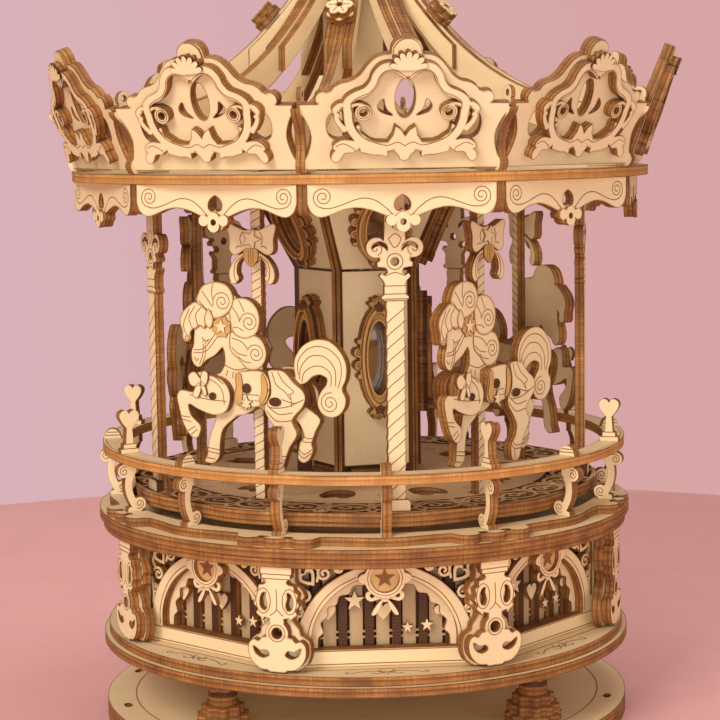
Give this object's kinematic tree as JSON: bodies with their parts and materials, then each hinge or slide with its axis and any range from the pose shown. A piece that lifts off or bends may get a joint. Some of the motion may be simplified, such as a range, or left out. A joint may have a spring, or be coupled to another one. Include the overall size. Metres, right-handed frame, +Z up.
{
  "type": "carousel music box kit",
  "caption": "Plywood carousel music box kit: horses ride on poles round a mirrored tower, under a scalloped canopy with a curved-rib roof, on a drum base with arches.",
  "frame": {"origin": "centre of the plinth's underside, where the object stands", "axes": "+Z up along the spindle, -Y towards the front arch of the drum"},
  "size_m": [0.2048, 0.2082, 0.292],
  "materials": {
    "pale_ply": "bare laser-cut basswood plywood face with fine grain",
    "edge_ply": "laser-burnt plywood edge, brown with ply lines",
    "burnt_ply": "dark burnt plywood",
    "carved_ply": "engraved amber-brown carved plywood",
    "engraving": "thin engraved line burnt into the face",
    "mirror": "polished mirror sheet",
    "brass": "satin brass",
    "steel": "brushed steel"
  },
  "bodies": {
    "base": {"plinth_disc": "pale_ply", "foot_1": "burnt_ply", "foot_2": "burnt_ply", "foot_3": "burnt_ply", "foot_4": "burnt_ply", "drum_floor": "pale_ply", "arch_panel_1": "pale_ply", "arch_panel_2": "pale_ply", "arch_panel_3": "pale_ply", "arch_panel_4": "pale_ply", "arch_panel_5": "pale_ply", "arch_panel_6": "pale_ply", "arch_panel_7": "pale_ply", "arch_panel_8": "pale_ply", "pilaster_1": "pale_ply", "pilaster_2": "pale_ply", "pilaster_3": "pale_ply", "pilaster_4": "pale_ply", "pilaster_5": "pale_ply", "pilaster_6": "pale_ply", "pilaster_7": "pale_ply", "pilaster_8": "pale_ply", "curtain_wall": "edge_ply", "drum_top": "pale_ply", "gallery_rail": "edge_ply", "cam_track": "edge_ply", "music_movement": "brass"},
    "winding_key": {"winding_key": "burnt_ply"},
    "carousel": {"spindle": "steel", "deck": "pale_ply", "tower": "pale_ply", "canopy_ring": "edge_ply", "column_1": "pale_ply", "column_2": "pale_ply", "column_3": "pale_ply", "column_4": "pale_ply", "column_5": "pale_ply", "valance": "pale_ply", "crown_panel_1": "pale_ply", "crown_panel_2": "pale_ply", "crown_panel_3": "pale_ply", "crown_panel_4": "pale_ply", "crown_panel_5": "pale_ply", "crown_panel_6": "pale_ply", "crown_panel_7": "pale_ply", "crown_panel_8": "pale_ply", "crown_panel_9": "pale_ply", "crown_panel_10": "pale_ply", "roof_frame": "edge_ply", "finial": "pale_ply"},
    "horse_1": {"horse_1": "pale_ply", "pole_1": "edge_ply"},
    "horse_2": {"horse_2": "pale_ply", "pole_2": "edge_ply"},
    "horse_3": {"horse_3": "pale_ply", "pole_3": "edge_ply"},
    "horse_4": {"horse_4": "pale_ply", "pole_4": "edge_ply"},
    "horse_5": {"horse_5": "pale_ply", "pole_5": "edge_ply"}
  },
  "joints": [
    {"name": "carousel_spin", "type": "hinge", "parent": "base", "child": "carousel", "pos_m": [0, 0, 0.08], "axis": [0, 0, 1], "continuous": true},
    {"name": "key_turn", "type": "hinge", "parent": "base", "child": "winding_key", "pos_m": [0, 0, 0.02], "axis": [0, 0, 1], "continuous": true},
    {"name": "horse_1_lift", "type": "slide", "parent": "carousel", "child": "horse_1", "axis": [0, 0, 1], "range_m": [0, 0.006]},
    {"name": "horse_2_lift", "type": "slide", "parent": "carousel", "child": "horse_2", "axis": [0, 0, 1], "range_m": [0, 0.006]},
    {"name": "horse_3_lift", "type": "slide", "parent": "carousel", "child": "horse_3", "axis": [0, 0, 1], "range_m": [0, 0.006]},
    {"name": "horse_4_lift", "type": "slide", "parent": "carousel", "child": "horse_4", "axis": [0, 0, 1], "range_m": [0, 0.006]},
    {"name": "horse_5_lift", "type": "slide", "parent": "carousel", "child": "horse_5", "axis": [0, 0, 1], "range_m": [0, 0.006]}
  ],
  "couplings": [
    {"joint": "key_turn", "follows": "carousel_spin", "ratio": 0.2}
  ]
}
